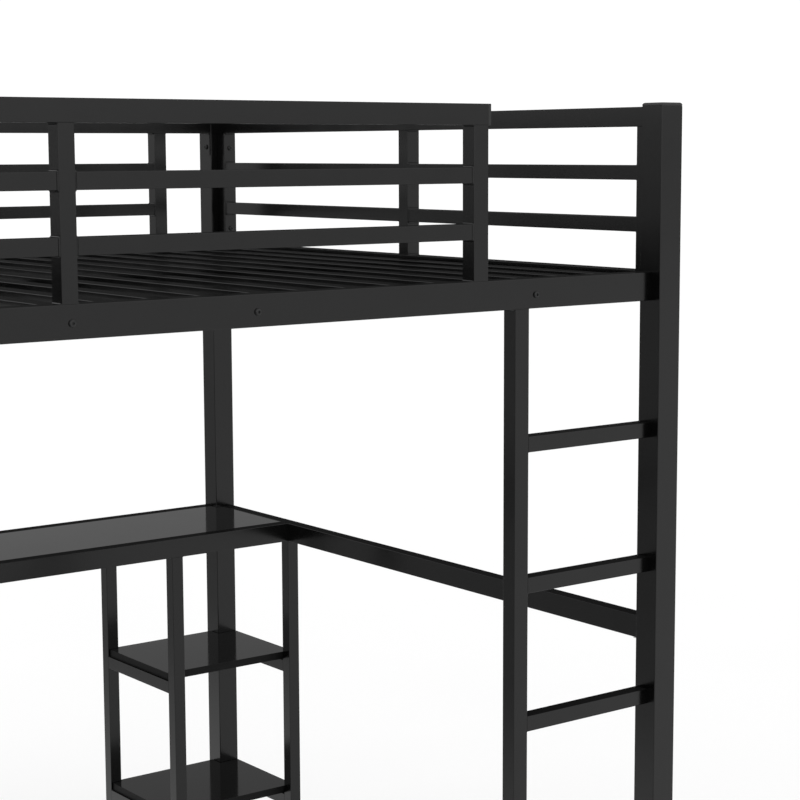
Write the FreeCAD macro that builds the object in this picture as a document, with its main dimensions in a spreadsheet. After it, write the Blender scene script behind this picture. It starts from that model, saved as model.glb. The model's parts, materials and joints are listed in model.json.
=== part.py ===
import FreeCAD, Part
import os
import re

os.makedirs("parts", exist_ok=True)

# Loft bed with a desk and a shelf tower under it, for a mattress of about full size.
# Frame: origin on the floor at the middle of the footprint, +X along the bed
# towards the ladder end, +Y towards the desk side, +Z up. Millimetres.

doc = FreeCAD.newDocument("LoftBed")

# ---------------------------------------------------------------- dimensions

DIMENSIONS = [
    # overall frame
    ("bed_length", 2006.0, "over the outer faces of the posts, along X"),
    ("bed_depth", 1462.0, "over the outer faces of the posts, along Y"),
    ("post_side", 48.0, "square post tube"),
    ("post_top", 1656.0, "top of the post tube, level with the top rails"),
    ("post_corner", 1.5, "outer corner radius of the post tube"),
    ("tube_corner", 1.0, "outer corner radius of every smaller tube"),
    ("tube_wall", 1.2, "wall of every steel tube"),
    ("plug_play", 0.2, "clearance of a plastic stem inside its tube"),
    ("cap_rise", 6.0, "domed plastic cap above the post tube"),
    ("cap_dome", 4.0, "radius round the top of the cap"),
    ("cap_seam", 1.2, "shadow gap between the cap's rim and the post"),
    ("cap_neck", 0.8, "depth of the same gap"),
    ("stem_length", 18.0, "stem of a plastic cap, plug or foot inside its tube"),
    ("foot_rise", 6.0, "plastic foot between a tube and the floor"),
    # mattress deck
    ("rail_height", 48.0, "side rail and slat-level end rail"),
    ("rail_top", 1380.0, "top of the side rails"),
    ("frame_tube", 29.0, "width of side rails, uprights, end-frame tubes and stile"),
    ("slat_width", 33.0, "slat, along X"),
    ("slat_height", 15.0, "slat, along Z"),
    ("slat_wall", 0.8, "wall of the slat tube"),
    ("slat_pitch", 87.0, "slat to slat"),
    ("slat_drop", 4.0, "slat tops below the side rail's top"),
    ("slat_play", 1.0, "end of a slat to the side rail"),
    ("ledge_width", 20.0, "slat ledge tube, along Y"),
    ("ledge_height", 25.0, "slat ledge tube, along Z"),
    ("ledge_half", 965.0, "half the length of the slat ledge"),
    # guards and upper end frames
    ("end_inset", 2.0, "outer face of an end frame to the post's"),
    ("bar_height", 25.0, "mid and low bars of guards and end frames"),
    ("bar_width", 25.0, "the same bars, across"),
    ("bar_gap", 65.0, "clear gap above the top bar and below the low one"),
    ("top_height", 33.0, "top rail of guards and end frames"),
    ("plug_rise", 5.0, "end plug of a guard's top rail"),
    ("guard_end", 582.7, "front guard's last upright before the ladder, X"),
    ("guard_pitch", 716.5, "front guard, upright to upright"),
    ("guard_rear", 825.5, "rear guard's end uprights, distance from the middle"),
    ("slim_upright", 25.0, "front guard's middle upright, along X"),
    ("tab_height", 48.0, "bolting tab under a top rail's end, along Z"),
    ("tab_width", 25.0, "the same tab, along Y"),
    ("tab_bolt_drop", 30.0, "underside of the top rail to the tab's bolt"),
    # ladder
    ("stile_middle", 668.0, "ladder stile's centre, X"),
    ("rung_side", 26.0, "square rung tube"),
    ("rung_pitch", 232.5, "rung to rung"),
    ("rung_first", 182.0, "middle of the lowest rung above the floor"),
    # desk
    ("desk_top", 779.0, "top of the desk rails"),
    ("desk_rail", 40.0, "height of the desk rails"),
    ("desk_tube", 26.0, "width of desk rails and tower tubes"),
    ("desk_front", 419.0, "front face of the desk, Y"),
    ("desk_end_inset", 4.0, "outer face of the desk's end rail to the post's"),
    ("panel_thick", 16.0, "desk panel and shelf boards"),
    ("panel_play", 1.0, "clearance round the desk panel and shelf boards"),
    ("panel_drop", 0.5, "panel's top below the desk rails"),
    ("brace_height", 20.0, "brace under the desk panel"),
    ("brace_first", 160.0, "middle of the desk to the nearest brace"),
    ("brace_pitch", 380.0, "brace to brace"),
    # shelf tower
    ("tower_width", 318.0, "over its tubes, along X"),
    ("shelf_upper", 484.5, "top of the upper shelf board"),
    ("shelf_lower", 178.0, "top of the lower shelf board"),
    ("board_side", 4.0, "board's left end to the tower's left face"),
    ("board_front", 8.0, "board's front edge behind the tower's front legs"),
    ("board_rear", 16.0, "board's rear edge to the rear face of the posts"),
    ("board_end", 1.0, "board's right end to the outer face of the posts"),
    # fasteners
    ("bolt_radius", 2.9, "shank of a bolt"),
    ("bolt_hole", 3.3, "clearance hole"),
    ("bolt_tip", 1.0, "shank beyond its nut or threaded plate"),
    ("thread_hole", 3.0, "hole in a nut or threaded plate"),
    ("head_radius", 5.3, "button head"),
    ("head_rise", 3.3, "button head"),
    ("head_round", 2.0, "round of the button head"),
    ("socket_radius", 2.3, "hexagon socket, over its corners"),
    ("socket_depth", 1.9, "hexagon socket"),
    ("nut_radius", 5.8, "hexagon nut, over its corners"),
    ("nut_rise", 5.0, "hexagon nut"),
    ("insert_radius", 4.5, "rivet nut inside a tube"),
    ("insert_length", 12.0, "rivet nut inside a tube"),
    ("plate_thick", 4.0, "threaded plate in the end of a rail or rung"),
    ("rail_bolt_drop", 26.0, "side rail's bolts below its top"),
    ("rail_bolt_side", 697.0, "outer bolts of the side rail, from the middle"),
    ("rail_bolt_middle", 165.0, "inner bolt of the side rail, from the middle"),
    ("rail_bolt_spread", 12.0, "side rail's end bolts above and below its centre"),
    ("cleat_leg", 28.0, "both legs of an angle cleat"),
    ("cleat_thick", 3.0, "thickness of an angle cleat or a bolting tab"),
    ("cleat_width", 18.0, "angle cleat, along its bend"),
    ("cleat_bolt", 17.0, "corner of the cleat to its bolts"),
    ("screw_radius", 2.0, "board screw"),
    ("screw_hole", 2.3, "clearance hole for a board screw"),
    ("screw_bite", 10.0, "board screw's depth in the board"),
    ("screw_head", 4.0, "radius of the board screw's head"),
    ("screw_rise", 2.5, "height of the board screw's head"),
    ("cut_past", 1.0, "how far a cutting shape runs past a face"),
]

sheet = doc.addObject("Spreadsheet::Sheet", "Sizes")
for row, (alias, value, meaning) in enumerate(DIMENSIONS, 1):
    sheet.set(f"A{row}", meaning)
    sheet.set(f"B{row}", str(value))
    sheet.setAlias(f"B{row}", alias)
doc.recompute()

ALIASES = {alias for alias, value, meaning in DIMENSIONS}

# Places and sizes that several pieces share, as expressions of the cells.
POST_X = "(bed_length / 2 - post_side / 2)"
POST_Y = "(bed_depth / 2 - post_side / 2)"
INNER_X = "(bed_length / 2 - post_side)"
INNER_Y = "(bed_depth / 2 - post_side)"
RAIL_Y = f"({INNER_Y} + frame_tube / 2)"
RAIL_Z = "(rail_top - rail_height / 2)"
TOP_RAIL_Z = "(post_top - top_height / 2)"
UPRIGHT_LENGTH = "(post_top - top_height - rail_top)"
UPRIGHT_Z = f"(rail_top + {UPRIGHT_LENGTH} / 2)"
LOW_BAR_Z = "(rail_top + bar_gap + bar_height / 2)"
MID_BAR_Z = "(post_top - top_height - bar_gap - bar_height / 2)"
END_X = "(bed_length / 2 - end_inset - frame_tube / 2)"
SIDE_TUBE_Y = f"({INNER_Y} - frame_tube / 2)"
SLAT_Z = "(rail_top - slat_drop - slat_height / 2)"
SLAT_UNDER = "(rail_top - slat_drop - slat_height)"
DESK_Z = "(desk_top - desk_rail / 2)"
DESK_UNDER = "(desk_top - desk_rail)"
DESK_END_X = "(bed_length / 2 - desk_end_inset - desk_tube / 2)"
DESK_END_FACE = "(bed_length / 2 - desk_end_inset - desk_tube)"
DESK_FRONT_Y = "(desk_front + desk_tube / 2)"
DESK_REAR_Y = "(bed_depth / 2 - desk_tube / 2)"
DESK_CLEAR = "(bed_depth / 2 - desk_front - 2 * desk_tube)"
DESK_MIDDLE_Y = "((bed_depth / 2 + desk_front) / 2)"
PANEL_UNDER = "(desk_top - panel_drop - panel_thick)"
TOWER_LEFT_X = "(bed_length / 2 - desk_end_inset - tower_width + desk_tube / 2)"
RUNG_Y = f"({INNER_Y} + frame_tube - rung_side / 2)"
RUNG_COUNT = 5
SLAT_COUNT = 22
RAIL_BOLT_Z = "(rail_top - rail_bolt_drop)"
LOWER_BOLT_Z = "(rail_top + bar_gap / 2)"
UPPER_BOLT_Z = "(post_top - top_height - bar_gap / 2)"
TAB_BOLT_Z = "(post_top - top_height - tab_bolt_drop)"
TOUCH = 0.1
NO_TURN = FreeCAD.Rotation()
FACING = {
    "x": FreeCAD.Rotation(FreeCAD.Vector(0, 1, 0), 90),
    "-x": FreeCAD.Rotation(FreeCAD.Vector(0, 1, 0), -90),
    "y": FreeCAD.Rotation(FreeCAD.Vector(1, 0, 0), -90),
    "-y": FreeCAD.Rotation(FreeCAD.Vector(1, 0, 0), 90),
    "z": NO_TURN,
    "-z": FreeCAD.Rotation(FreeCAD.Vector(1, 0, 0), 180),
}
SIDES = {"left": -1, "right": 1}
ROWS = {"front": -1, "rear": 1}
CORNERS = [(row, side) for row in ROWS for side in SIDES]
TAB_CORNERS = [corner for corner in CORNERS if corner != ("front", "right")]
INWARD = {"left": "x", "right": "-x", "front": "y", "rear": "-y"}
OUTWARD = {"left": "-x", "right": "x", "front": "-y", "rear": "y"}

# ------------------------------------------------------------------- helpers


def formula(text):
    """An expression of the sheet's cells, from one that names only their aliases."""
    return re.sub(r"[a-z_]+", lambda word: "Sizes." + word[0] if word[0] in ALIASES else word[0], str(text))


def bind(feature, values):
    """Bind each property of the feature to its expression."""
    for name, text in values.items():
        feature.setExpression(name, formula(text))


def place(feature, centre, turn=NO_TURN):
    """Turn the feature and bind its base point to three expressions."""
    feature.Placement = FreeCAD.Placement(FreeCAD.Vector(0, 0, 0), turn)
    bind(feature, {f"Placement.Base.{axis}": text for axis, text in zip("xyz", centre)})


def new_body(name, centre, turn=NO_TURN):
    """An empty body with its own Label and a Placement bound to the sheet."""
    body = doc.addObject("PartDesign::Body", name)
    body.Label = name
    place(body, centre, turn)
    return body


def block(body, kind, size, centre=(0, 0, 0)):
    """Add or cut a box of three expressions, centred at a point of the body."""
    box = body.newObject(f"PartDesign::{kind}Box", f"{body.Name}_{kind}Box")
    bind(box, dict(zip(("Length", "Width", "Height"), size)))
    place(box, [f"({middle}) - ({length}) / 2" for middle, length in zip(centre, size)])
    return box


def round_edges(body, feature, radius, wanted):
    """Round the edges of the feature's shape for which wanted(edge) is true."""
    doc.recompute([feature])
    names = [f"Edge{n}" for n, edge in enumerate(feature.Shape.Edges, 1) if wanted(edge)]
    fillet = body.newObject("PartDesign::Fillet", f"{body.Name}_Round")
    fillet.Base = (feature, names)
    bind(fillet, {"Radius": radius})
    doc.recompute([fillet])
    return fillet


def runs_along(axis):
    """A test for straight edges parallel to one axis."""
    return lambda edge: abs(edge.tangentAt(edge.FirstParameter)["xyz".index(axis)]) > 0.99


def rod(body, kind, radius, length, base, facing="z"):
    """Add or cut a cylinder that starts at base and runs in the facing direction."""
    cylinder = body.newObject(f"PartDesign::{kind}Cylinder", f"{body.Name}_{kind}Cylinder")
    bind(cylinder, {"Radius": radius, "Height": length})
    place(cylinder, base, FACING[facing])
    return cylinder


def tube(name, axis, size, centre, wall="tube_wall", corner="tube_corner", holes=()):
    """A straight rectangular steel tube, open at both ends, with round holes drilled in it.

    Each hole is (facing, base, length, radius), its base measured from the tube's centre.
    """
    body = new_body(name, centre)
    outer = block(body, "Additive", size)
    round_edges(body, outer, corner, runs_along(axis))
    inner = [f"({length}) - 2 * {wall}" for length in size]
    inner["xyz".index(axis)] = f"({size['xyz'.index(axis)]}) + 2 * cut_past"
    block(body, "Subtractive", inner)
    for facing, base, length, radius in holes:
        rod(body, "Subtractive", radius, length, base, facing)
    return body


def group(name, members):
    """One node that holds several equal pieces as separate solids."""
    compound = doc.addObject("Part::Compound", name)
    compound.Label = name
    compound.Links = members
    return compound


def repeat(name, master, stations):
    """One node made of linked copies of a master piece, one at each (centre, turn)."""
    copies = []
    for number, (centre, turn) in enumerate(stations, 1):
        copy = doc.addObject("App::Link", f"{name}_{number}")
        copy.LinkedObject = master
        copy.LinkTransform = False
        place(copy, centre, turn)
        copies.append(copy)
    return group(name, copies)


# ------------------------------------------------------------ fastener masters


def button_bolt(name, grip):
    """A bolt whose button head stands on the plane z = 0 and whose shank runs down."""
    body = new_body(name, (0, 0, 0))
    head = rod(body, "Additive", "head_radius", "head_rise", (0, 0, 0))
    round_edges(body, head, "head_round", lambda edge: edge.BoundBox.ZMin > TOUCH)
    socket = body.newObject("PartDesign::SubtractivePrism", f"{name}_Socket")
    socket.Polygon = 6
    bind(socket, {"Circumradius": "socket_radius", "Height": "socket_depth + cut_past"})
    place(socket, (0, 0, "head_rise - socket_depth"))
    rod(body, "Additive", "bolt_radius", grip, (0, 0, 0), "-z")
    return body


def board_screw(name, grip):
    """A pan-head screw that points up, its head below the plane z = 0."""
    body = new_body(name, (0, 0, 0))
    head = rod(body, "Additive", "screw_head", "screw_rise", (0, 0, 0), "-z")
    round_edges(body, head, "screw_rise / 2", lambda edge: edge.BoundBox.ZMax < -TOUCH)
    rod(body, "Additive", "screw_radius", grip, (0, 0, 0))
    return body


def hex_nut(name):
    """A hexagon nut that stands on the plane z = 0."""
    body = new_body(name, (0, 0, 0))
    prism = body.newObject("PartDesign::AdditivePrism", f"{name}_Prism")
    prism.Polygon = 6
    bind(prism, {"Circumradius": "nut_radius", "Height": "nut_rise"})
    rod(body, "Subtractive", "thread_hole", "nut_rise + 2 * cut_past", (0, 0, "0 - cut_past"))
    return body


def rivet_nut(name):
    """A round threaded insert that starts on the plane z = 0."""
    body = new_body(name, (0, 0, 0))
    rod(body, "Additive", "insert_radius", "insert_length", (0, 0, 0))
    rod(body, "Subtractive", "thread_hole", "insert_length + 2 * cut_past", (0, 0, "0 - cut_past"))
    return body


# ---------------------------------------------------------------- shared facts

nodes = []
rung_heights = [f"(rung_first + {n} * rung_pitch)" for n in range(RUNG_COUNT)]
end_bolt_heights = [f"({RAIL_Z} - rail_bolt_spread)", f"({RAIL_Z} + rail_bolt_spread)"]
rail_bolt_stations = [
    "(0 - rail_bolt_side)",
    "(guard_end - guard_pitch)",
    "rail_bolt_middle",
    "rail_bolt_side",
]
brace_stations = [f"{sign} * (brace_first + {n} * brace_pitch)" for sign in SIDES.values() for n in range(3)]
screw_rows = [f"({DESK_MIDDLE_Y} - {DESK_CLEAR} / 4)", f"({DESK_MIDDLE_Y} + {DESK_CLEAR} / 4)"]
CLEAT_BOLT_Z = f"({DESK_UNDER} - cleat_bolt)"
CORNER_CLEAT_Z = f"({PANEL_UNDER} - panel_play - cleat_width / 2)"

# ----------------------------------------------------------------------- posts


def post_holes(row, side, middle):
    """Holes of a corner post, measured from its centre at the height middle."""
    sx = SIDES[side]
    sy = ROWS[row]
    crossings = [(RAIL_Y, height) for height in end_bolt_heights]
    if (row, side) == ("front", "right"):
        crossings += [(RUNG_Y, height) for height in rung_heights]
    if row == "rear":
        crossings.append((DESK_REAR_Y, DESK_Z))
    holes = []
    for y, height in crossings:
        base = ("0 - post_side", f"{sy} * ({y} - {POST_Y})", f"{height} - {middle}")
        holes.append(("x", base, "2 * post_side", "bolt_hole"))
    entries = [(END_X, LOWER_BOLT_Z), (END_X, UPPER_BOLT_Z), (DESK_END_X, CLEAT_BOLT_Z)]
    for x, height in entries:
        wall_y = f"{-sy} * (post_side / 2 - 2 * tube_wall)"
        base = (f"{sx} * ({x} - {POST_X})", wall_y, f"{height} - {middle}")
        holes.append((INWARD[row], base, "4 * tube_wall", "bolt_hole"))
    if (row, side) in TAB_CORNERS:
        wall_x = f"{-sx} * (post_side / 2 - 2 * tube_wall)"
        base = (wall_x, f"{sy} * ({RAIL_Y} - {POST_Y})", f"{TAB_BOLT_Z} - {middle}")
        holes.append((INWARD[side], base, "4 * tube_wall", "bolt_hole"))
    return holes


def post(row, side):
    """A corner post on its plastic foot."""
    length = "(post_top - foot_rise)"
    middle = f"(foot_rise + {length} / 2)"
    size = ("post_side", "post_side", length)
    centre = (f"{SIDES[side]} * {POST_X}", f"{ROWS[row]} * {POST_Y}", middle)
    holes = post_holes(row, side, middle)
    return tube(f"post_{row}_{side}", "z", size, centre, corner="post_corner", holes=holes)


def plug(name, across, rise, corner="tube_corner"):
    """A plastic plug: a flange on the plane z = 0 and a stem below it inside the tube."""
    body = new_body(name, (0, 0, 0))
    flange = block(body, "Additive", (across[0], across[1], rise), (0, 0, f"{rise} / 2"))
    round_edges(body, flange, corner, runs_along("z"))
    stem = [f"({length}) - 2 * tube_wall - 2 * plug_play" for length in across]
    block(body, "Additive", (stem[0], stem[1], "stem_length"), (0, 0, "0 - stem_length / 2"))
    return body


def domed_cap(name):
    """A post's cap: a domed rim held a little off the tube's end by a narrower neck, and a stem."""
    body = new_body(name, (0, 0, 0))
    rim_height = "(cap_rise - cap_seam)"
    rim_middle = f"cap_seam + {rim_height} / 2"
    rim = block(body, "Additive", ("post_side", "post_side", rim_height), (0, 0, rim_middle))
    sides = round_edges(body, rim, "post_corner", runs_along("z"))
    top = sides.Shape.BoundBox.ZMax
    round_edges(body, sides, "cap_dome", lambda edge: edge.BoundBox.ZMin > top - TOUCH)
    neck = "(post_side - 2 * cap_neck)"
    block(body, "Additive", (neck, neck, "cap_seam"), (0, 0, "cap_seam / 2"))
    stem = "(post_side - 2 * tube_wall - 2 * plug_play)"
    block(body, "Additive", (stem, stem, "stem_length"), (0, 0, "0 - stem_length / 2"))
    return body


for row, side in CORNERS:
    nodes.append(post(row, side))

post_spots = [(f"{SIDES[side]} * {POST_X}", f"{ROWS[row]} * {POST_Y}") for row, side in CORNERS]
cap = domed_cap("cap_master")
nodes.append(repeat("post_caps", cap, [((x, y, "post_top"), NO_TURN) for x, y in post_spots]))

# A foot is a plug turned over, its flange on the floor.
post_foot = plug("post_foot_master", ("post_side", "post_side"), "foot_rise", corner="post_corner")
nodes.append(repeat("post_feet", post_foot, [((x, y, "foot_rise"), FACING["-z"]) for x, y in post_spots]))

# ------------------------------------------------------------ deck: rails, slats


def side_rail(row):
    """A long rail between two posts, level with their inner faces."""
    holes = []
    for station in rail_bolt_stations:
        base = (station, "0 - frame_tube", f"{RAIL_BOLT_Z} - {RAIL_Z}")
        holes.append(("y", base, "2 * frame_tube", "bolt_hole"))
    size = (f"2 * {INNER_X}", "frame_tube", "rail_height")
    centre = (0, f"{ROWS[row]} * {RAIL_Y}", RAIL_Z)
    return tube(f"side_rail_{row}", "x", size, centre, holes=holes)


def slat_ledge(row):
    """A tube bolted along the side rail's inner face, under the slats' ends."""
    middle_z = f"({SLAT_UNDER} - ledge_height / 2)"
    holes = []
    for station in rail_bolt_stations:
        base = (station, "0 - ledge_width", f"{RAIL_BOLT_Z} - {middle_z}")
        holes.append(("y", base, "2 * ledge_width", "bolt_hole"))
    size = ("2 * ledge_half", "ledge_width", "ledge_height")
    centre = (0, f"{ROWS[row]} * ({INNER_Y} - ledge_width / 2)", middle_z)
    return tube(f"slat_ledge_{row}", "x", size, centre, holes=holes)


for row in ROWS:
    nodes.append(side_rail(row))
for row in ROWS:
    nodes.append(slat_ledge(row))

slat_length = f"(2 * {INNER_Y} - 2 * slat_play)"
slat = tube("slat_master", "y", ("slat_width", slat_length, "slat_height"), (0, 0, 0), wall="slat_wall")
slat_stations = []
for n in range(SLAT_COUNT):
    slat_stations.append(((f"({n} - {SLAT_COUNT - 1} / 2) * slat_pitch", 0, SLAT_Z), NO_TURN))
nodes.append(repeat("slats", slat, slat_stations))

beam_size = (f"2 * ({END_X} - frame_tube / 2)", "frame_tube", "frame_tube")
nodes.append(tube("centre_beam", "x", beam_size, (0, 0, f"{SLAT_UNDER} - frame_tube / 2")))

# ---------------------------------------------------------------------- guards

MIDDLE_UPRIGHT = "(guard_end - guard_pitch - (frame_tube - slim_upright) / 2)"
GUARDS = {
    "front": ["(guard_end - 2 * guard_pitch)", MIDDLE_UPRIGHT, "guard_end"],
    "rear": ["(0 - guard_rear)", "0", "guard_rear"],
}
UPRIGHT_WIDTHS = {
    "front": ["frame_tube", "slim_upright", "frame_tube"],
    "rear": ["frame_tube", "frame_tube", "frame_tube"],
}
# The front top rail stops at the last upright, to leave the way in from the ladder.
TOP_RAIL_ENDS = {
    "front": (f"(0 - {INNER_X})", "(guard_end + frame_tube / 2)"),
    "rear": (f"(0 - {INNER_X})", INNER_X),
}


def guard(row):
    """A guard: uprights on the side rail, a top rail over them and two bars between them."""
    y = f"{ROWS[row]} * {RAIL_Y}"
    stations = GUARDS[row]
    widths = UPRIGHT_WIDTHS[row]
    name = f"guard_{row}"
    low_end, high_end = TOP_RAIL_ENDS[row]
    top_size = (f"({high_end} - {low_end})", "frame_tube", "top_height")
    top_centre = (f"(({high_end} + {low_end}) / 2)", y, TOP_RAIL_Z)
    top_rail = tube(f"{name}_top_rail", "x", top_size, top_centre)
    uprights = []
    for number, (station, width) in enumerate(zip(stations, widths), 1):
        upright_size = (width, "frame_tube", UPRIGHT_LENGTH)
        uprights.append(tube(f"{name}_upright_{number}", "z", upright_size, (station, y, UPRIGHT_Z)))
    low_faces = [f"({station} + {width} / 2)" for station, width in zip(stations, widths)]
    high_faces = [f"({station} - {width} / 2)" for station, width in zip(stations, widths)]
    bars = []
    for level, z in (("mid", MID_BAR_Z), ("low", LOW_BAR_Z)):
        for number, (low, high) in enumerate(zip(low_faces, high_faces[1:]), 1):
            size = (f"({high} - {low})", "bar_width", "bar_height")
            centre = (f"(({high} + {low}) / 2)", y, z)
            bars.append(tube(f"{name}_{level}_bar_{number}", "x", size, centre))
    return [top_rail, group(f"{name}_uprights", uprights), group(f"{name}_bars", bars)]


for row in ROWS:
    nodes.extend(guard(row))

end_plug = plug("plug_master", ("top_height", "frame_tube"), "plug_rise")
plug_place = ((TOP_RAIL_ENDS["front"][1], f"0 - {RAIL_Y}", TOP_RAIL_Z), FACING["x"])
nodes.append(repeat("guard_end_plug", end_plug, [plug_place]))

# A tab welded under each top rail's end, flat against the post, takes one bolt.
tabs = []
for row, side in TAB_CORNERS:
    tab_z = "(post_top - top_height - tab_height / 2)"
    tab_x = f"{SIDES[side]} * ({INNER_X} - cleat_thick / 2)"
    tab = new_body(f"guard_tab_{row}_{side}", (tab_x, f"{ROWS[row]} * {RAIL_Y}", tab_z))
    block(tab, "Additive", ("cleat_thick", "tab_width", "tab_height"))
    hole_base = ("0 - cleat_thick", 0, "tab_height / 2 - tab_bolt_drop")
    rod(tab, "Subtractive", "bolt_hole", "2 * cleat_thick", hole_base, "x")
    tabs.append(tab)
nodes.append(group("guard_tabs", tabs))

# ------------------------------------------------------------ upper end frames


def end_side_tube(name, x, row):
    """An end frame's tube against a post, drilled for the two bolts into it."""
    length = "(post_top - top_height - rail_top + rail_height)"
    middle = f"(rail_top - rail_height + {length} / 2)"
    holes = []
    for height in (LOWER_BOLT_Z, UPPER_BOLT_Z):
        base = (0, "0 - frame_tube", f"{height} - {middle}")
        holes.append(("y", base, "2 * frame_tube", "bolt_hole"))
    centre = (x, f"{ROWS[row]} * {SIDE_TUBE_Y}", middle)
    return tube(name, "z", ("frame_tube", "frame_tube", length), centre, holes=holes)


def end_frame(side):
    """The frame between two posts from the deck up."""
    x = f"{SIDES[side]} * {END_X}"
    name = f"end_frame_{side}"
    top_size = ("frame_tube", f"2 * {INNER_Y}", "top_height")
    top_rail = tube(f"{name}_top_rail", "y", top_size, (x, 0, TOP_RAIL_Z))
    deck_size = ("frame_tube", f"2 * ({INNER_Y} - frame_tube)", "rail_height")
    deck_rail = tube(f"{name}_deck_rail", "y", deck_size, (x, 0, RAIL_Z))
    side_tubes = [end_side_tube(f"{name}_side_tube_{row}", x, row) for row in ROWS]
    upright = tube(f"{name}_upright", "z", ("frame_tube", "frame_tube", UPRIGHT_LENGTH), (x, 0, UPRIGHT_Z))
    bar_length = f"({INNER_Y} - frame_tube - frame_tube / 2)"
    bar_y = f"(frame_tube / 2 + {bar_length} / 2)"
    bars = []
    for level, z in (("mid", MID_BAR_Z), ("low", LOW_BAR_Z)):
        for row, sy in ROWS.items():
            size = ("bar_width", bar_length, "bar_height")
            bars.append(tube(f"{name}_{level}_bar_{row}", "y", size, (x, f"{sy} * {bar_y}", z)))
    side_pair = group(f"{name}_side_tubes", side_tubes)
    return [top_rail, deck_rail, side_pair, upright, group(f"{name}_bars", bars)]


for side in SIDES:
    nodes.extend(end_frame(side))

# ---------------------------------------------------------------------- ladder

stile_length = "(rail_top - rail_height - foot_rise)"
stile_size = ("frame_tube", "frame_tube", stile_length)
stile_centre = ("stile_middle", f"0 - {RAIL_Y}", f"(foot_rise + {stile_length} / 2)")
nodes.append(tube("ladder_stile", "z", stile_size, stile_centre))

rung_length = f"({INNER_X} - stile_middle - frame_tube / 2)"
rung_middle = f"({INNER_X} - {rung_length} / 2)"
for number, height in enumerate(rung_heights, 1):
    rung_size = (rung_length, "rung_side", "rung_side")
    nodes.append(tube(f"ladder_rung_{number}", "x", rung_size, (rung_middle, f"0 - {RUNG_Y}", height)))

# ------------------------------------------------------------------------ desk


def notched_board(name, size, centre, notches, screws):
    """A flat board with blind screw holes in its underside, cut out round square tubes.

    Each notch is (x, y, side of the tube).
    """
    body = new_body(name, centre)
    block(body, "Additive", size)
    for x, y, tube_side in notches:
        opening = f"({tube_side} + 2 * panel_play)"
        block(body, "Subtractive", (opening, opening, f"{size[2]} + 2 * cut_past"), (x, y, 0))
    for x, y in screws:
        rod(body, "Subtractive", "screw_radius", "screw_bite", (x, y, f"0 - {size[2]} / 2"))
    return body


for side, sx in SIDES.items():
    end_size = ("desk_tube", f"2 * {INNER_Y}", "desk_rail")
    holes = []
    for sy in ROWS.values():
        base = (0, f"{sy} * ({INNER_Y} - cleat_bolt)", "0 - desk_rail / 2 - tube_wall")
        holes.append(("z", base, "4 * tube_wall", "bolt_hole"))
    inner_face = f"{-sx} * (desk_tube / 2 - 2 * tube_wall)"
    corner_base = (inner_face, "desk_front + desk_tube + cleat_bolt", f"{CORNER_CLEAT_Z} - {DESK_Z}")
    holes.append((INWARD[side], corner_base, "4 * tube_wall", "bolt_hole"))
    centre = (f"{sx} * {DESK_END_X}", 0, DESK_Z)
    nodes.append(tube(f"desk_end_rail_{side}", "y", end_size, centre, holes=holes))

front_holes = []
for sx in SIDES.values():
    along_x = f"{sx} * ({DESK_END_FACE} - cleat_bolt)"
    base = (along_x, "desk_tube / 2 - 2 * tube_wall", f"{CORNER_CLEAT_Z} - {DESK_Z}")
    front_holes.append(("y", base, "4 * tube_wall", "bolt_hole"))
front_size = (f"2 * {DESK_END_FACE}", "desk_tube", "desk_rail")
nodes.append(tube("desk_front_rail", "x", front_size, (0, DESK_FRONT_Y, DESK_Z), holes=front_holes))
rear_size = (f"2 * {INNER_X}", "desk_tube", "desk_rail")
nodes.append(tube("desk_rear_rail", "x", rear_size, (0, DESK_REAR_Y, DESK_Z)))

braces = []
for number, station in enumerate(brace_stations, 1):
    brace_holes = []
    for row_y in screw_rows:
        base = (0, f"{row_y} - {DESK_MIDDLE_Y}", "0 - brace_height")
        brace_holes.append(("z", base, "2 * brace_height", "screw_hole"))
    brace_size = ("desk_tube", DESK_CLEAR, "brace_height")
    brace_centre = (station, DESK_MIDDLE_Y, f"{PANEL_UNDER} - brace_height / 2")
    braces.append(tube(f"desk_brace_{number}", "y", brace_size, brace_centre, holes=brace_holes))
nodes.append(group("desk_braces", braces))

panel_notches = [(f"{sx} * {POST_X}", f"{POST_Y} - {DESK_MIDDLE_Y}", "post_side") for sx in SIDES.values()]
panel_screws = [(station, f"{row_y} - {DESK_MIDDLE_Y}") for station in brace_stations for row_y in screw_rows]
panel_size = (f"2 * {DESK_END_FACE} - 2 * panel_play", f"{DESK_CLEAR} - 2 * panel_play", "panel_thick")
panel_centre = (0, DESK_MIDDLE_Y, f"{PANEL_UNDER} + panel_thick / 2")
nodes.append(notched_board("desk_panel", panel_size, panel_centre, panel_notches, panel_screws))

# ----------------------------------------------------------------- shelf tower

TOWER_LEGS = {
    "rear_left": (TOWER_LEFT_X, DESK_REAR_Y),
    "front_left": (TOWER_LEFT_X, DESK_FRONT_Y),
    "front_right": (DESK_END_X, DESK_FRONT_Y),
}
leg_length = f"({DESK_UNDER} - foot_rise)"
leg_size = ("desk_tube", "desk_tube", leg_length)
for corner, (x, y) in TOWER_LEGS.items():
    nodes.append(tube(f"tower_leg_{corner}", "z", leg_size, (x, y, f"(foot_rise + {leg_length} / 2)")))

# Small feet: one under the ladder's stile and one under each leg of the tower.
small_feet = []
foot_spots = {"stile": ("stile_middle", f"0 - {RAIL_Y}"), **TOWER_LEGS}
for spot, (x, y) in foot_spots.items():
    across = "frame_tube" if spot == "stile" else "desk_tube"
    foot = plug(f"foot_{spot}", (across, across), "foot_rise")
    place(foot, (x, y, "foot_rise"), FACING["-z"])
    small_feet.append(foot)
nodes.append(group("small_feet", small_feet))

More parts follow.
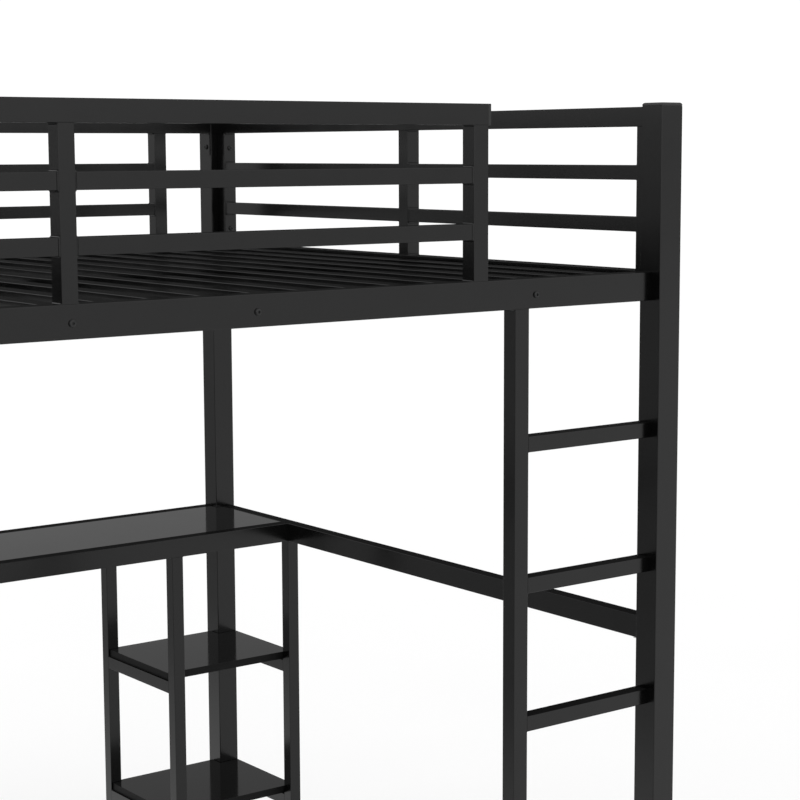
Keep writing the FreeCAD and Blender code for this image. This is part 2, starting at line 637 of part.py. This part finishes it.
SHELVES = {"upper": "shelf_upper", "lower": "shelf_lower"}
LEG_BACK_Y = "(desk_front + desk_tube)"
LEG_FRONT_Y = "(bed_depth / 2 - desk_tube)"
SHELF_RAILS = {
    "left": (TOWER_LEFT_X, LEG_BACK_Y, LEG_FRONT_Y),
    "right": (DESK_END_X, LEG_BACK_Y, INNER_Y),
}
BOARD_LENGTH = "(desk_end_inset + tower_width - board_side - board_end)"
BOARD_X = f"(bed_length / 2 - board_end - {BOARD_LENGTH} / 2)"
BOARD_DEPTH = f"(bed_depth / 2 - board_rear - {LEG_BACK_Y} - board_front)"
BOARD_Y = f"({LEG_BACK_Y} + board_front + {BOARD_DEPTH} / 2)"


def shelf_screw_spots(side):
    """The two board screws of one shelf rail: X and Y."""
    x, low, high = SHELF_RAILS[side]
    return [(x, f"({low} + {part} * ({high} - {low}) / 4)") for part in (1, 3)]


def shelf(level, top):
    """A board on two tubes that run between the tower's legs."""
    rail_z = f"({top} - panel_thick - desk_tube / 2)"
    rails = []
    screws = []
    for side, (x, low, high) in SHELF_RAILS.items():
        middle = f"(({low} + {high}) / 2)"
        holes = []
        for spot_x, spot_y in shelf_screw_spots(side):
            holes.append(("z", (0, f"{spot_y} - {middle}", "0 - desk_tube"), "2 * desk_tube", "screw_hole"))
            screws.append((f"{spot_x} - {BOARD_X}", f"{spot_y} - {BOARD_Y}"))
        size = ("desk_tube", f"({high} - {low})", "desk_tube")
        rails.append(tube(f"shelf_{level}_rail_{side}", "y", size, (x, middle, rail_z), holes=holes))
    notches = [
        (f"{POST_X} - {BOARD_X}", f"{POST_Y} - {BOARD_Y}", "post_side"),
        (f"{TOWER_LEFT_X} - {BOARD_X}", f"{DESK_REAR_Y} - {BOARD_Y}", "desk_tube"),
    ]
    board_size = (BOARD_LENGTH, BOARD_DEPTH, "panel_thick")
    board_centre = (BOARD_X, BOARD_Y, f"({top} - panel_thick / 2)")
    board = notched_board(f"shelf_{level}_board", board_size, board_centre, notches, screws)
    return [group(f"shelf_{level}_rails", rails), board]


for level, top in SHELVES.items():
    nodes.extend(shelf(level, top))

# ------------------------------------------------------------------- fasteners

# Through the side rail and the slat ledge, a nut behind the ledge.
rail_bolt = button_bolt("rail_bolt_master", "frame_tube + ledge_width + nut_rise + bolt_tip")
nut = hex_nut("nut_master")
rail_bolt_places = []
nut_places = []
for row, sy in ROWS.items():
    for station in rail_bolt_stations:
        head_y = f"{sy} * ({INNER_Y} + frame_tube)"
        nut_y = f"{sy} * ({INNER_Y} - ledge_width)"
        rail_bolt_places.append(((station, head_y, RAIL_BOLT_Z), FACING[OUTWARD[row]]))
        nut_places.append(((station, nut_y, RAIL_BOLT_Z), FACING[INWARD[row]]))
nodes.append(repeat("side_rail_bolts", rail_bolt, rail_bolt_places))
nodes.append(repeat("side_rail_nuts", nut, nut_places))

# Through the post into a threaded plate in the end of a side rail, a rung or the desk's rear rail.
post_bolt = button_bolt("post_bolt_master", "post_side + plate_thick + bolt_tip")


def end_plate(name, centre, across, bolt_offsets):
    """A threaded plate inside a tube's end."""
    plate = new_body(name, centre)
    inside = [f"({length}) - 2 * tube_wall" for length in across]
    block(plate, "Additive", ("plate_thick", inside[0], inside[1]))
    for offset in bolt_offsets:
        rod(plate, "Subtractive", "thread_hole", "2 * plate_thick", ("0 - plate_thick", 0, offset), "x")
    return plate


post_bolt_places = []
end_plates = []
for row, side in CORNERS:
    face_x = f"{SIDES[side]} * bed_length / 2"
    plate_x = f"{SIDES[side]} * ({INNER_X} - plate_thick / 2)"
    y = f"{ROWS[row]} * {RAIL_Y}"
    for height in end_bolt_heights:
        post_bolt_places.append(((face_x, y, height), FACING[OUTWARD[side]]))
    offsets = ("rail_bolt_spread", "0 - rail_bolt_spread")
    name = f"rail_end_plate_{row}_{side}"
    end_plates.append(end_plate(name, (plate_x, y, RAIL_Z), ("frame_tube", "rail_height"), offsets))
    if row == "rear":
        post_bolt_places.append(((face_x, DESK_REAR_Y, DESK_Z), FACING[OUTWARD[side]]))
        name = f"desk_end_plate_{side}"
        end_plates.append(end_plate(name, (plate_x, DESK_REAR_Y, DESK_Z), ("desk_tube", "desk_rail"), (0,)))
for number, height in enumerate(rung_heights, 1):
    rung_y = f"0 - {RUNG_Y}"
    post_bolt_places.append((("bed_length / 2", rung_y, height), FACING["x"]))
    plate_centre = (f"{INNER_X} - plate_thick / 2", rung_y, height)
    end_plates.append(end_plate(f"rung_end_plate_{number}", plate_centre, ("rung_side", "rung_side"), (0,)))
nodes.append(repeat("post_bolts", post_bolt, post_bolt_places))
nodes.append(group("end_plates", end_plates))

# Angle cleats: the desk's end rails on the posts, and its front rail on the end rails.
cleat = new_body("cleat_master", (0, 0, 0))
flat_leg = ("cleat_leg", "cleat_width", "cleat_thick")
block(cleat, "Additive", flat_leg, ("cleat_leg / 2", 0, "0 - cleat_thick / 2"))
upright_leg = ("cleat_thick", "cleat_width", "cleat_leg")
block(cleat, "Additive", upright_leg, ("cleat_thick / 2", 0, "0 - cleat_leg / 2"))
rod(cleat, "Subtractive", "bolt_hole", "4 * cleat_thick", ("cleat_bolt", 0, "0 - 2 * cleat_thick"))
rod(cleat, "Subtractive", "bolt_hole", "4 * cleat_thick", ("0 - cleat_thick", 0, "0 - cleat_bolt"), "x")

# From inside the end frame's side tube, or through a cleat or tab, into a rivet nut behind the wall.
frame_bolt = button_bolt("frame_bolt_master", "frame_tube + tube_wall + insert_length + bolt_tip")
cleat_bolt = button_bolt("cleat_bolt_master", "cleat_thick + tube_wall + insert_length + bolt_tip")
insert = rivet_nut("insert_master")
frame_bolt_places = []
cleat_places = []
cleat_bolt_places = []
insert_places = []
for row, side in CORNERS:
    sx = SIDES[side]
    sy = ROWS[row]
    wall_y = f"{sy} * ({INNER_Y} + tube_wall)"
    for height in (LOWER_BOLT_Z, UPPER_BOLT_Z):
        head_y = f"{sy} * ({INNER_Y} - frame_tube)"
        frame_bolt_places.append(((f"{sx} * {END_X}", head_y, height), FACING[INWARD[row]]))
        insert_places.append(((f"{sx} * {END_X}", wall_y, height), FACING[OUTWARD[row]]))
    rail_x = f"{sx} * {DESK_END_X}"
    bolt_y = f"{sy} * ({INNER_Y} - cleat_bolt)"
    turn = FreeCAD.Rotation(FreeCAD.Vector(0, 0, 1), -90 * sy)
    cleat_places.append(((rail_x, f"{sy} * {INNER_Y}", DESK_UNDER), turn))
    cleat_bolt_places.append(((rail_x, bolt_y, f"{DESK_UNDER} - cleat_thick"), FACING["-z"]))
    insert_places.append(((rail_x, bolt_y, f"{DESK_UNDER} + tube_wall"), FACING["z"]))
    cleat_head_y = f"{sy} * ({INNER_Y} - cleat_thick)"
    cleat_bolt_places.append(((rail_x, cleat_head_y, CLEAT_BOLT_Z), FACING[INWARD[row]]))
    insert_places.append(((rail_x, wall_y, CLEAT_BOLT_Z), FACING[OUTWARD[row]]))

for row, side in TAB_CORNERS:
    sx = SIDES[side]
    y = f"{ROWS[row]} * {RAIL_Y}"
    cleat_bolt_places.append(((f"{sx} * ({INNER_X} - cleat_thick)", y, TAB_BOLT_Z), FACING[INWARD[side]]))
    insert_places.append(((f"{sx} * ({INNER_X} + tube_wall)", y, TAB_BOLT_Z), FACING[OUTWARD[side]]))

CORNER_TURN = {
    "left": FACING["-y"],
    "right": FreeCAD.Rotation(FreeCAD.Vector(0, 1, 0), 180).multiply(FACING["-y"]),
}
for side, sx in SIDES.items():
    cleat_places.append(((f"{sx} * {DESK_END_FACE}", LEG_BACK_Y, CORNER_CLEAT_Z), CORNER_TURN[side]))
    along_x = f"{sx} * ({DESK_END_FACE} - cleat_bolt)"
    cleat_bolt_places.append(((along_x, f"{LEG_BACK_Y} + cleat_thick", CORNER_CLEAT_Z), FACING["y"]))
    insert_places.append(((along_x, f"{LEG_BACK_Y} - tube_wall", CORNER_CLEAT_Z), FACING["-y"]))
    along_y = f"{LEG_BACK_Y} + cleat_bolt"
    cleat_head_x = f"{sx} * ({DESK_END_FACE} - cleat_thick)"
    cleat_bolt_places.append(((cleat_head_x, along_y, CORNER_CLEAT_Z), FACING[INWARD[side]]))
    insert_x = f"{sx} * ({DESK_END_FACE} + tube_wall)"
    insert_places.append(((insert_x, along_y, CORNER_CLEAT_Z), FACING[OUTWARD[side]]))
nodes.append(repeat("end_frame_bolts", frame_bolt, frame_bolt_places))
nodes.append(repeat("desk_cleats", cleat, cleat_places))
nodes.append(repeat("cleat_bolts", cleat_bolt, cleat_bolt_places))
nodes.append(repeat("rivet_nuts", insert, insert_places))

# Up through each brace and shelf rail into the board above it.
panel_screw = board_screw("panel_screw_master", "brace_height + screw_bite")
screw_z = f"{PANEL_UNDER} - brace_height"
panel_screw_places = [((x, y, screw_z), NO_TURN) for x in brace_stations for y in screw_rows]
nodes.append(repeat("desk_panel_screws", panel_screw, panel_screw_places))

shelf_screw = board_screw("shelf_screw_master", "desk_tube + screw_bite")
shelf_screw_places = []
for top in SHELVES.values():
    for side in SHELF_RAILS:
        for x, y in shelf_screw_spots(side):
            shelf_screw_places.append(((x, y, f"{top} - panel_thick - desk_tube"), NO_TURN))
nodes.append(repeat("shelf_screws", shelf_screw, shelf_screw_places))

# ------------------------------------------------------------ check and export

doc.recompute()

for item in doc.Objects:
    if "Invalid" in item.State or "Error" in item.State:
        raise RuntimeError(f"{item.Name} failed: {item.State}")

for node in nodes:
    if node.Shape.isNull() or not node.Shape.isValid() or not node.Shape.Solids:
        raise RuntimeError(f"{node.Label} has no valid solid")

for node in nodes:
    node.Shape.exportStep(f"parts/{node.Label}.step")
    print(node.Label, len(node.Shape.Solids), "solids")
print(len(nodes), "nodes")
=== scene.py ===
import json
from math import radians, sin, cos, pi

import bmesh
import bpy
from mathutils import Matrix, Vector


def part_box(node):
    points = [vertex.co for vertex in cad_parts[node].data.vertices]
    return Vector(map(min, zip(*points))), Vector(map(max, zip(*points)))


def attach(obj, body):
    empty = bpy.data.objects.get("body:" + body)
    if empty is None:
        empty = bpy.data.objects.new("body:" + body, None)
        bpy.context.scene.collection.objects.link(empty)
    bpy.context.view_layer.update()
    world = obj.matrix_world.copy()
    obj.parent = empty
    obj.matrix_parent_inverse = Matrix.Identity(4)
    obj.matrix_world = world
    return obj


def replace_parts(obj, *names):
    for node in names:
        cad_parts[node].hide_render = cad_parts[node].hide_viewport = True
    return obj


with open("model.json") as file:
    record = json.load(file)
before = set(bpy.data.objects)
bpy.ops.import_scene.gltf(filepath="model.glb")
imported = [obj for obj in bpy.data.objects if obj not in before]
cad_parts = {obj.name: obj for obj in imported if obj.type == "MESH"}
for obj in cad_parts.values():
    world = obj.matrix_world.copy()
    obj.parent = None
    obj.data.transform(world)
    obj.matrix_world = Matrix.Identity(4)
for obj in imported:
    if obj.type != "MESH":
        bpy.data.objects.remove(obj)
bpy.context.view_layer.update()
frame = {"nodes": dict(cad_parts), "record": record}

# Loft bed with desk: finishes, weld beads, eased boards, floor, light and camera.
# Metres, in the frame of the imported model: +X along the bed towards the ladder,
# +Y towards the desk side, +Z up, the floor at z = 0.

NODES = frame["nodes"]
MM = 0.001

# ------------------------------------------------------------------ node helpers


class Nodes:
    """A node tree that is written as one call per node."""

    def __init__(self, tree):
        self.tree = tree
        tree.nodes.clear()

    def add(self, kind, inputs=None, **settings):
        """A new node with its settings, its inputs linked or set."""
        node = self.tree.nodes.new(kind)
        for name, value in settings.items():
            setattr(node, name, value)
        for name, value in (inputs or {}).items():
            self.feed(node.inputs[name], value)
        return node

    def feed(self, socket, value):
        """Link an output to a socket, or set the socket's own value."""
        if isinstance(value, bpy.types.NodeSocket):
            self.tree.links.new(value, socket)
        else:
            socket.default_value = value

    def maths(self, operation, first, second=0.0):
        """The result of one Math node."""
        return self.add("ShaderNodeMath", {0: first, 1: second}, operation=operation).outputs[0]

    def remap(self, value, low, high, to_low, to_high):
        """value moved from one range to another, clamped."""
        inputs = {"Value": value, "From Min": low, "From Max": high, "To Min": to_low, "To Max": to_high}
        return self.add("ShaderNodeMapRange", inputs).outputs["Result"]

    def noise(self, coordinates, size, detail=2.0, roughness=0.5):
        """Noise with features of about this size, in metres."""
        inputs = {"Vector": coordinates, "Scale": 1.0 / size, "Detail": detail, "Roughness": roughness}
        return self.add("ShaderNodeTexNoise", inputs).outputs["Fac"]

    def blend(self, factor, first, second):
        """A colour between two, by a factor."""
        node = self.add("ShaderNodeMix", data_type="RGBA")
        self.feed(node.inputs["Factor"], factor)
        self.feed(node.inputs[6], first)
        self.feed(node.inputs[7], second)
        return node.outputs[2]


def grey(level, warmth=0.0):
    """A near-neutral linear colour."""
    return (level * (1 + warmth), level, level * (1 - warmth), 1.0)


def new_material(name):
    """A material with an empty tree, and its helper."""
    material = bpy.data.materials.new(name)
    material.use_nodes = True
    return material, Nodes(material.node_tree)


def finish_material(n, colour, roughness, normal, level, **sockets):
    """The Principled shader and the output that end a material."""
    inputs = {"Base Color": colour, "Roughness": roughness, "Normal": normal, "Specular IOR Level": level}
    inputs.update({name.replace("_", " "): value for name, value in sockets.items()})
    shader = n.add("ShaderNodeBsdfPrincipled", inputs)
    n.add("ShaderNodeOutputMaterial", {"Surface": shader.outputs["BSDF"]})


# --------------------------------------------------------------------- materials


def upward(n, coordinates):
    """1 on faces that look up or down, 0 on upright ones."""
    height = n.add("ShaderNodeSeparateXYZ", {0: coordinates["Normal"]}).outputs["Z"]
    return n.remap(n.maths("ABSOLUTE", height), 0.6, 0.9, 0.0, 1.0)


def powder_coat():
    """Satin black powder coat: a fine orange peel, level faces duller, with painted light: faces that look
    up or down get a lighter base colour.
    """
    material, n = new_material("black_powder_coat")
    coordinates = n.add("ShaderNodeTexCoord").outputs
    place = coordinates["Object"]
    peel = n.noise(place, 1.6 * MM, detail=3.0)
    cloud = n.noise(place, 60 * MM, detail=2.0)
    dust = n.noise(place, 0.5 * MM, detail=1.0)
    flat = upward(n, coordinates)
    coat = n.blend(n.remap(cloud, 0.35, 0.65, 0.0, 1.0), grey(0.0004), grey(0.0009))
    # painted light: faces that look up or down get a lighter base colour than upright ones, painted in for
    # how light falls on level faces; it is not a tone of the coat
    colour = n.blend(flat, coat, grey(0.0075))
    gloss = n.maths("ADD", n.remap(cloud, 0.3, 0.7, 0.17, 0.20), n.remap(dust, 0.3, 0.7, 0.0, 0.02))
    # level faces also lose almost all their specular reflection, so the painted lighter colour above stands
    # in for that reflection
    level = n.remap(flat, 0.0, 1.0, 0.35, 0.0006)
    bump = n.add("ShaderNodeBump", {"Strength": 0.10, "Distance": 0.05 * MM, "Height": peel})
    finish_material(n, colour, gloss, bump.outputs["Normal"], level)
    return material


def laminate():
    """Black laminate on board: a semi-gloss film with a faint grain, duller bands on the edges."""
    material, n = new_material("black_board")
    coordinates = n.add("ShaderNodeTexCoord").outputs
    place = coordinates["Object"]
    stretched = n.add("ShaderNodeMapping", {"Vector": place, "Scale": (0.06, 1.0, 1.0)}).outputs["Vector"]
    grain = n.noise(stretched, 2.2 * MM, detail=4.0, roughness=0.6)
    cloud = n.noise(place, 90 * MM, detail=2.0)
    colour = n.blend(n.remap(grain, 0.3, 0.7, 0.0, 1.0), grey(0.0035), grey(0.0065))
    film = n.maths("ADD", n.remap(cloud, 0.3, 0.7, 0.08, 0.10), n.remap(grain, 0.3, 0.7, 0.0, 0.02))
    flat = upward(n, coordinates)
    gloss = n.remap(flat, 0.0, 1.0, 0.55, film)
    level = n.remap(flat, 0.0, 1.0, 0.09, 0.10)
    bump = n.add("ShaderNodeBump", {"Strength": 0.05, "Distance": 0.02 * MM, "Height": grain})
    finish_material(n, colour, gloss, bump.outputs["Normal"], level)
    return material


def moulded_plastic():
    """Black moulded plastic with a fine spark-eroded grain."""
    material, n = new_material("black_plastic")
    place = n.add("ShaderNodeTexCoord").outputs["Object"]
    grit = n.noise(place, 0.7 * MM, detail=2.0)
    cloud = n.noise(place, 25 * MM, detail=2.0)
    colour = n.blend(n.remap(cloud, 0.35, 0.65, 0.0, 1.0), grey(0.0075), grey(0.0105))
    gloss = n.remap(grit, 0.3, 0.7, 0.42, 0.52)
    bump = n.add("ShaderNodeBump", {"Strength": 0.18, "Distance": 0.04 * MM, "Height": grit})
    finish_material(n, colour, gloss, bump.outputs["Normal"], 0.4)
    return material


def black_oxide():
    """Black oxide on turned steel: dark, slightly metallic, with faint turning marks."""
    material, n = new_material("black_hardware")
    place = n.add("ShaderNodeTexCoord").outputs["Object"]
    turning = n.noise(place, 0.4 * MM, detail=3.0)
    cloud = n.noise(place, 4 * MM, detail=2.0)
    colour = n.blend(n.remap(cloud, 0.35, 0.65, 0.0, 1.0), grey(0.006, -0.02), grey(0.011, -0.02))
    gloss = n.remap(turning, 0.3, 0.7, 0.44, 0.54)
    bump = n.add("ShaderNodeBump", {"Strength": 0.15, "Distance": 0.02 * MM, "Height": turning})
    finish_material(n, colour, gloss, bump.outputs["Normal"], 0.4, Metallic=0.15)
    return material


def zinc():
    """Bright zinc plate with a fine brushed grain and faint cloudy patches."""
    material, n = new_material("zinc_steel")
    place = n.add("ShaderNodeTexCoord").outputs["Object"]
    stretched = n.add("ShaderNodeMapping", {"Vector": place, "Scale": (1.0, 0.08, 1.0)}).outputs["Vector"]
    brush = n.noise(stretched, 0.4 * MM, detail=3.0)
    cloud = n.noise(place, 6 * MM, detail=3.0)
    colour = n.blend(n.remap(cloud, 0.35, 0.65, 0.0, 1.0), (0.50, 0.52, 0.55, 1.0), (0.66, 0.66, 0.64, 1.0))
    gloss = n.remap(brush, 0.3, 0.7, 0.26, 0.40)
    bump = n.add("ShaderNodeBump", {"Strength": 0.15, "Distance": 0.02 * MM, "Height": brush})
    finish_material(n, colour, gloss, bump.outputs["Normal"], 0.5, Metallic=1.0)
    return material


def studio_floor():
    """A plain pale floor that glows a little, less towards the back left."""
    material, n = new_material("studio_floor")
    place = n.add("ShaderNodeTexCoord").outputs["Object"]
    cloud = n.noise(place, 0.8, detail=2.0)
    colour = n.blend(cloud, grey(0.24), grey(0.26))
    across = n.add("ShaderNodeVectorMath", {0: place, 1: (1.0, -0.48, 0.0)}, operation="DOT_PRODUCT")
    glow = n.remap(across.outputs["Value"], -1.5, 0.05, 0.07, 0.69)
    shader = n.add("ShaderNodeBsdfPrincipled", {"Base Color": colour, "Roughness": 0.9})
    n.feed(shader.inputs["Emission Color"], grey(1.0))
    n.feed(shader.inputs["Emission Strength"], glow)
    n.add("ShaderNodeOutputMaterial", {"Surface": shader.outputs["BSDF"]})
    return material


MATERIALS = {
    "black_powder_coat": powder_coat(),
    "black_board": laminate(),
    "black_plastic": moulded_plastic(),
    "black_hardware": black_oxide(),
    "zinc_steel": zinc(),
}


def dress_frame():
    """Give every CAD node the finish that the record names for it."""
    for part in frame["record"]["subparts"]:
        mesh = NODES[part["node"]].data
        mesh.materials.clear()
        mesh.materials.append(MATERIALS[part["material_slot"]])


# ---------------------------------------------------------------------- boards


def new_piece(name, slot, points, faces, smooth):
    """A mesh of points and faces that rides on the frame and wears a slot's finish."""
    mesh = bpy.data.meshes.new(name)
    mesh.from_pydata(points, [], faces)
    mesh.materials.append(MATERIALS[slot])
    for polygon in mesh.polygons:
        polygon.use_smooth = smooth
    piece = bpy.data.objects.new(name, mesh)
    bpy.context.scene.collection.objects.link(piece)
    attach(piece, "root")
    return piece


def overlaps(box, x, y):
    """Whether the point lies inside the box, seen from above."""
    low, high = box
    return low.x < x < high.x and low.y < y < high.y


def eased_board(node, tubes):
    """The board of a CAD node with its edges eased, notched round the named tubes."""
    play = 1.0 * MM
    ease = 0.8 * MM
    margin = Vector((play, play, 0.0))
    low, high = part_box(node)
    notches = [(box[0] - margin, box[1] + margin) for box in map(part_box, tubes)]
    notch_corners = [corner for box in notches for corner in box]
    xs = sorted({low.x, high.x} | {corner.x for corner in notch_corners if low.x < corner.x < high.x})
    ys = sorted({low.y, high.y} | {corner.y for corner in notch_corners if low.y < corner.y < high.y})
    shape = bmesh.new()
    corners = {(x, y): shape.verts.new((x, y, low.z)) for x in xs for y in ys}
    for x0, x1 in zip(xs, xs[1:]):
        for y0, y1 in zip(ys, ys[1:]):
            if not any(overlaps(box, (x0 + x1) / 2, (y0 + y1) / 2) for box in notches):
                shape.faces.new([corners[x0, y0], corners[x0, y1], corners[x1, y1], corners[x1, y0]])
    loose = [vert for vert in shape.verts if not vert.link_faces]
    bmesh.ops.delete(shape, geom=loose, context="VERTS")
    bmesh.ops.dissolve_limit(shape, angle_limit=radians(1), verts=shape.verts[:], edges=shape.edges[:])
    raised = bmesh.ops.extrude_face_region(shape, geom=shape.faces[:])["geom"]
    lift = [item for item in raised if isinstance(item, bmesh.types.BMVert)]
    bmesh.ops.translate(shape, verts=lift, vec=(0.0, 0.0, high.z - low.z))
    bmesh.ops.recalc_face_normals(shape, faces=shape.faces[:])
    bmesh.ops.bevel(shape, geom=shape.edges[:], offset=ease, segments=3, profile=0.5, affect="EDGES")
    shape.verts.index_update()
    points = [vert.co[:] for vert in shape.verts]
    faces = [[vert.index for vert in face.verts] for face in shape.faces]
    shape.free()
    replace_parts(new_piece(f"{node}_eased", "black_board", points, faces, smooth=False), node)


# ----------------------------------------------------------------------- welds

WELD_LEG = 3.0 * MM
SMALLEST_LEG = 0.4 * MM
RIPPLE_PITCH = 2.4 * MM
RIPPLE_STEPS = 3
RIPPLE_DEPTH = 0.12
WELD_BULGE = 1.10
WELD_SINK = 0.05 * MM
PROBE_REACH = 0.5 * MM
CORNER_RUN_ON = 0.7
CORNER_SHORTFALL = 0.6 * MM
THINNEST_END = 0.25
STEEPEST_RISE = 1.5
WELD_FAMILIES = {
    "ladder": ("ladder_",),
    "guards": ("guard_front_", "guard_rear_", "guard_tabs"),
    "end_frames": ("end_frame_", "centre_beam"),
    "desk": ("desk_braces",),
    "tower": ("tower_leg_", "shelf_"),
}
HOST_FAMILIES = ("ladder_stile", "guard_", "side_rail_", "end_frame_", "desk_", "tower_leg_")


def coated(prefixes):
    """Names of the powder-coated nodes that start with one of the prefixes."""
    parts = frame["record"]["subparts"]
    names = [part["node"] for part in parts if part["material_slot"] == "black_powder_coat"]
    return [name for name in names if name.startswith(prefixes)]


def solids(node):
    """The box of each separate solid of a CAD node."""
    mesh = NODES[node].data
    spots = [tuple(round(value / (0.01 * MM)) for value in vert.co) for vert in mesh.vertices]
    parent = {spot: spot for spot in spots}

    def root(spot):
        while parent[spot] != spot:
            parent[spot] = parent[parent[spot]]
            spot = parent[spot]
        return spot

    for first, second in (edge.vertices for edge in mesh.edges):
        parent[root(spots[first])] = root(spots[second])
    members = {}
    for spot, vert in zip(spots, mesh.vertices):
        members.setdefault(root(spot), []).append(vert.co)
    boxes = []
    for cloud in members.values():
        low = Vector([min(point[k] for point in cloud) for k in range(3)])
        high = Vector([max(point[k] for point in cloud) for k in range(3)])
        boxes.append((low, high))
    return boxes


def along(axis, length):
    """A vector of that length along one axis."""
    vector = Vector((0.0, 0.0, 0.0))
    vector[axis] = length
    return vector


def fillet(points, faces, start, stop, out, up):
    """Add one rippled bead from start to stop, its legs given by the vectors out and up."""
    length = (stop - start).length
    steps = max(4, round(length / RIPPLE_PITCH * RIPPLE_STEPS))
    angles = [radians(angle) for angle in (0, 30, 60, 90)]
    first = len(points)
    for step in range(steps + 1):
        travelled = length * step / steps
        ripple = 1 - RIPPLE_DEPTH * (1 - cos(2 * pi * travelled / RIPPLE_PITCH)) / 2
        taper = min(1.0, THINNEST_END + min(travelled, length - travelled) / WELD_LEG)
        base = start.lerp(stop, step / steps)
        buried = base - out.normalized() * WELD_SINK - up.normalized() * WELD_SINK
        points.append(buried[:])
        for angle in angles:
            bulge = 1 + (WELD_BULGE - 1) * sin(2 * angle)
            reach = ripple * taper * bulge / (cos(angle) + sin(angle))
            points.append((buried + (out * cos(angle) + up * sin(angle)) * reach)[:])
    ring = len(angles) + 1
    for step in range(steps):
        near = first + step * ring
        for k in range(ring):
            after = (k + 1) % ring
            faces.append((near + k, near + after, near + ring + after, near + ring + k))
    faces.append(tuple(range(first + ring - 1, first - 1, -1)))
    faces.append(tuple(range(first + steps * ring, first + steps * ring + ring)))


def weld_ends(points, faces, guest, hosts):
    """Beads round each end of a tube that butts against the side of another tube."""
    low, high = guest
    size = high - low
    axis = max(range(3), key=lambda k: size[k])
    sides = [k for k in range(3) if k != axis]
    for end, outward in ((low, -1), (high, 1)):
        probe = (low + high) / 2
        probe[axis] = end[axis] + outward * PROBE_REACH
        touched = [box for box in hosts if all(box[0][k] < probe[k] < box[1][k] for k in range(3))]
        if not touched:
            continue
        host_low, host_high = touched[0]
        for k, other in (sides, sides[::-1]):
            ends = []
            for limit, face, sign in ((host_low, low, -1), (host_high, high, 1)):
                room = min(WELD_LEG, sign * (limit[other] - face[other]))
                run_on = room * CORNER_RUN_ON if room > SMALLEST_LEG else -CORNER_SHORTFALL
                ends.append(face[other] + sign * run_on)
            for limit, face, sign in ((host_low, low, -1), (host_high, high, 1)):
                leg = min(WELD_LEG, sign * (limit[k] - face[k]))
                if leg < SMALLEST_LEG:
                    continue
                start = Vector((0.0, 0.0, 0.0))
                start[axis] = end[axis]
                start[k] = face[k]
                stop = start.copy()
                start[other], stop[other] = ends
                rise = -outward * min(WELD_LEG, STEEPEST_RISE * leg)
                fillet(points, faces, start, stop, along(k, sign * leg), along(axis, rise))


def weld_frame():
    """Weld beads wherever the end of a coated tube meets another one."""
    hosts = [box for node in coated(HOST_FAMILIES) for box in solids(node)]
    for family, prefixes in WELD_FAMILIES.items():
        points = []
        faces = []
        for node in coated(prefixes):
            for box in solids(node):
                weld_ends(points, faces, box, hosts)
        new_piece(f"weld_beads_{family}", "black_powder_coat", points, faces, smooth=True)


# ------------------------------------------------------------------ studio set


def studio_world():
    """A white background, and soft light that is brightest from the front left and overhead.

    The light of direction (x, y, z) is level + tilt . (x, y, z) plus a rise just above
    the horizon, kept between two limits.
    """
    level = 0.76
    tilt = (-0.67, -0.67, 0.0)
    rise_until = 0.17
    rise = 0.53
    darkest = 0.01
    brightest = 1.45
    world = bpy.data.worlds.new("studio")
    world.use_nodes = True
    bpy.context.scene.world = world
    n = Nodes(world.node_tree)
    direction = n.add("ShaderNodeTexCoord").outputs["Generated"]
    slope = n.add("ShaderNodeVectorMath", {0: direction, 1: tilt}, operation="DOT_PRODUCT").outputs["Value"]
    height = n.add("ShaderNodeSeparateXYZ", {0: direction}).outputs["Z"]
    light = n.maths("ADD", slope, n.remap(height, 0.0, rise_until, level, level + rise))
    light = n.maths("MINIMUM", n.maths("MAXIMUM", light, darkest), brightest)
    seen = n.add("ShaderNodeLightPath").outputs["Is Camera Ray"]
    lit = n.add("ShaderNodeBackground", {"Color": grey(1.0), "Strength": light}).outputs[0]
    white = n.add("ShaderNodeBackground", {"Color": grey(1.0), "Strength": 1.05}).outputs[0]
    mixed = n.add("ShaderNodeMixShader", {0: seen, 1: lit, 2: white}).outputs[0]
    n.add("ShaderNodeOutputWorld", {"Surface": mixed})


def studio_floor_plane():
    """A round floor under and round the bed."""
    radius = 30.0
    mesh = bpy.data.meshes.new("studio_floor")
    shape = bmesh.new()
    bmesh.ops.create_circle(shape, cap_ends=True, segments=96, radius=radius)
    shape.to_mesh(mesh)
    shape.free()
    floor = bpy.data.objects.new("studio_floor", mesh)
    bpy.context.scene.collection.objects.link(floor)
    mesh.materials.append(studio_floor())


def studio_camera():
    """The camera: at eye height by the bed's front left, turned towards the ladder end."""
    place = Vector((-1.3858, -3.0910, 1.5851))
    heading = radians(37.228)
    dip = radians(7.240)
    roll = radians(-0.208)
    data = bpy.data.cameras.new("camera")
    data.sensor_width = 36.0
    data.lens = 88.58
    data.clip_end = 60.0
    camera = bpy.data.objects.new("camera", data)
    bpy.context.scene.collection.objects.link(camera)
    aim = Matrix.Rotation(-heading, 4, "Z") @ Matrix.Rotation(pi / 2 - dip, 4, "X")
    turn = aim @ Matrix.Rotation(roll, 4, "Z")
    camera.matrix_world = Matrix.Translation(place) @ turn
    bpy.context.scene.camera = camera


# ---------------------------------------------------------------------- the scene

dress_frame()
eased_board("desk_panel", ["post_rear_left", "post_rear_right"])
eased_board("shelf_upper_board", ["post_rear_right", "tower_leg_rear_left"])
eased_board("shelf_lower_board", ["post_rear_right", "tower_leg_rear_left"])
weld_frame()
studio_world()
studio_floor_plane()
studio_camera()
bpy.context.scene.view_settings.view_transform = "Standard"
